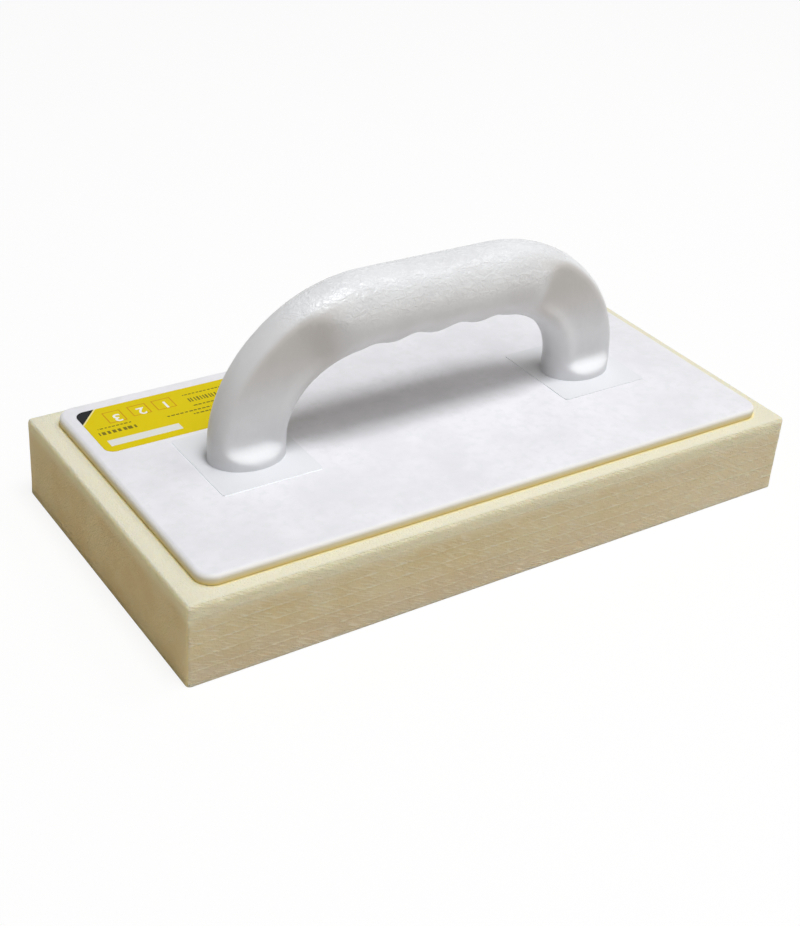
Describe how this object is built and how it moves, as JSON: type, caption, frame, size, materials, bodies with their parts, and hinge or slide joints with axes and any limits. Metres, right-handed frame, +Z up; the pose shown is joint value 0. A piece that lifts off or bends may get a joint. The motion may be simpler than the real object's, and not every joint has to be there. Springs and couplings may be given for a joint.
{
  "type": "sponge float",
  "caption": "Plasterer's sponge float: a rectangular foam block under a thin plastic board, with an arched grip handle with finger grooves and scooped arms.",
  "frame": {"origin": "centre of the sponge's flat working face, which rests on the ground", "axes": "+X along the length, in line with the handle; +Y across the width, towards the side that carries the label; +Z up from the working face to the grip"},
  "size_m": [0.28, 0.14, 0.1066],
  "materials": {
    "foam": "matte",
    "glue": "matte",
    "board_plastic": "satin",
    "handle_plastic": "satin",
    "label_film": "satin"
  },
  "bodies": {
    "root": {"sponge": "foam", "glue_layer": "glue", "board": "board_plastic", "handle": "handle_plastic", "label": "label_film"}
  },
  "joints": []
}
